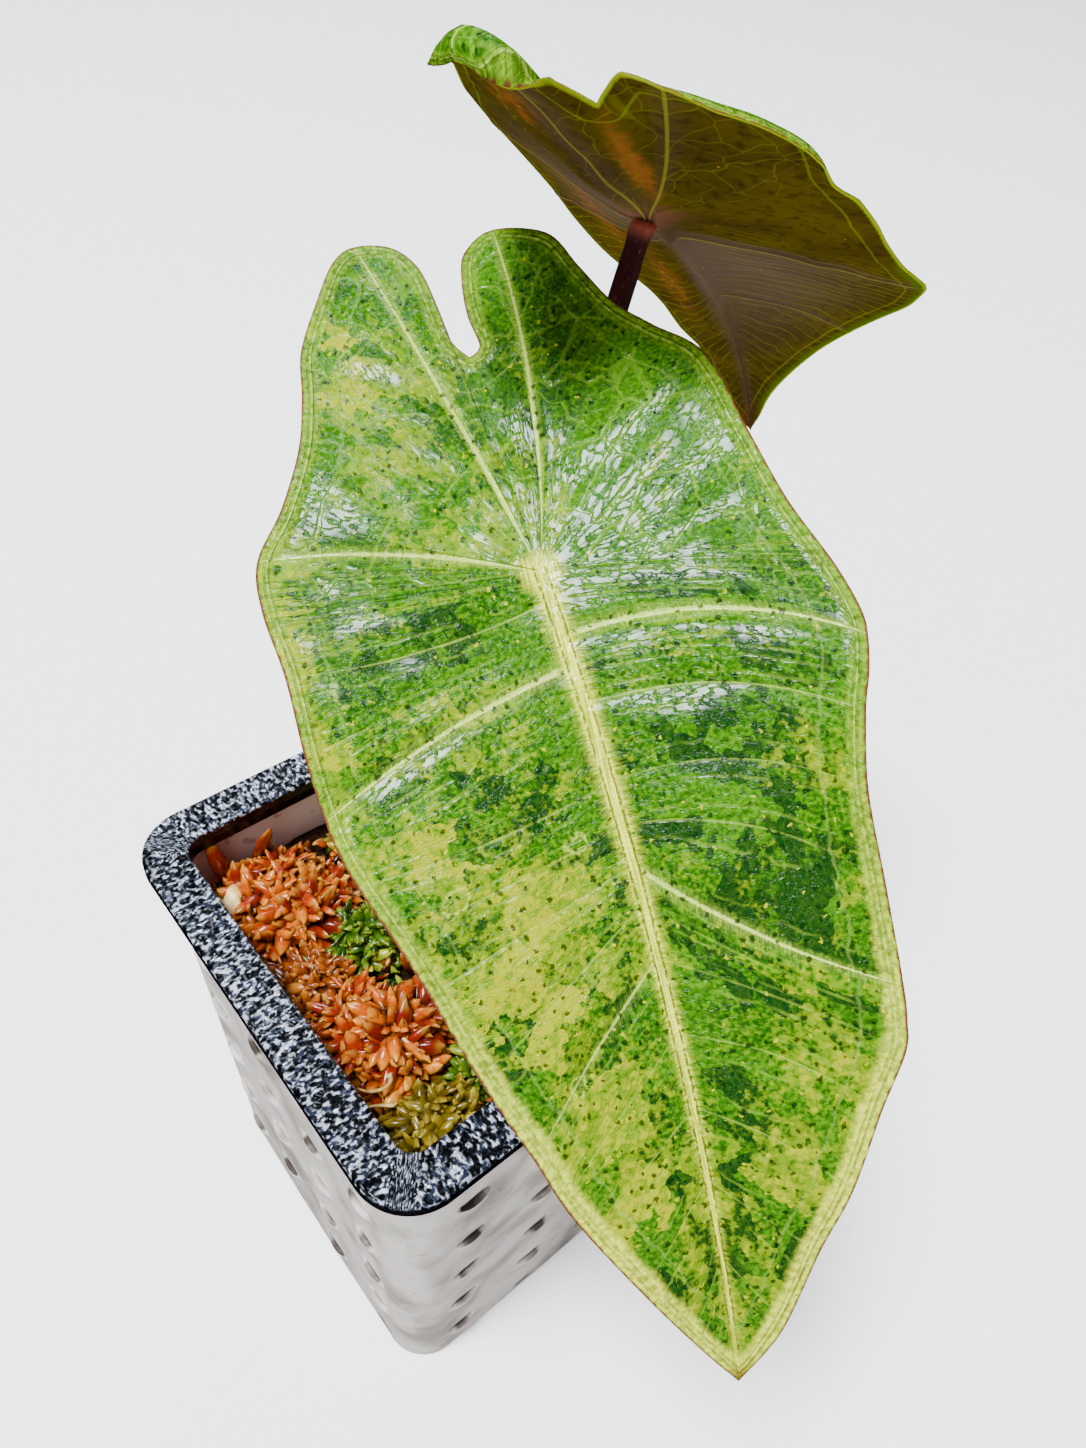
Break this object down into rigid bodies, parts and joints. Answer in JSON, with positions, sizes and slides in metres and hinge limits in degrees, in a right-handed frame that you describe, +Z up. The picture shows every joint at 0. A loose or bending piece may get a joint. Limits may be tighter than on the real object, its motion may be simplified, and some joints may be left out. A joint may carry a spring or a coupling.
{
  "type": "potted houseplant",
  "caption": "Low potted aroid: two glossy variegated arrow-shaped leaves with waved edges and raised ribs, on slim stalks in a tapered square pot topped with moss.",
  "frame": {"origin": "centre of the pot's base, on the surface it stands on", "axes": "+Z up, +X and +Y square to the pot's sides. The front leaf hangs towards -X -Y and the back leaf towards +X +Y"},
  "size_m": [0.1675, 0.1541, 0.2413],
  "materials": {
    "pot_plastic": "mottled warm grey, glossy",
    "rim_plastic": "hammered navy black",
    "soil": "damp fibrous substrate",
    "blade_upper": "glossy puckered leaf, green and yellow variegation",
    "blade_under": "leaf seen from its bronze underside",
    "stalk": "dark maroon, satin",
    "corm": "dry ringed brown skin",
    "moss_orange": "wet orange moss leaflets",
    "moss_green": "wet green moss leaflets",
    "moss_brown": "old brown moss leaflets",
    "moss_olive": "wet olive moss leaflets"
  },
  "bodies": {
    "root": {"pot_body": "pot_plastic", "pot_collar": "rim_plastic", "substrate": "soil", "leaf_front_blade": "blade_upper", "leaf_back_blade": "blade_under", "leaf_front_petiole": "stalk", "leaf_back_petiole": "stalk", "stem": "corm", "moss_orange_left": "moss_orange", "moss_orange_front": "moss_orange", "moss_green_left": "moss_green", "moss_brown_left": "moss_brown", "moss_olive_front": "moss_olive", "moss_green_front": "moss_green", "moss_orange_right": "moss_orange", "moss_olive_right": "moss_olive", "moss_orange_back": "moss_orange", "moss_green_back": "moss_green", "moss_olive_back": "moss_olive"}
  },
  "joints": []
}
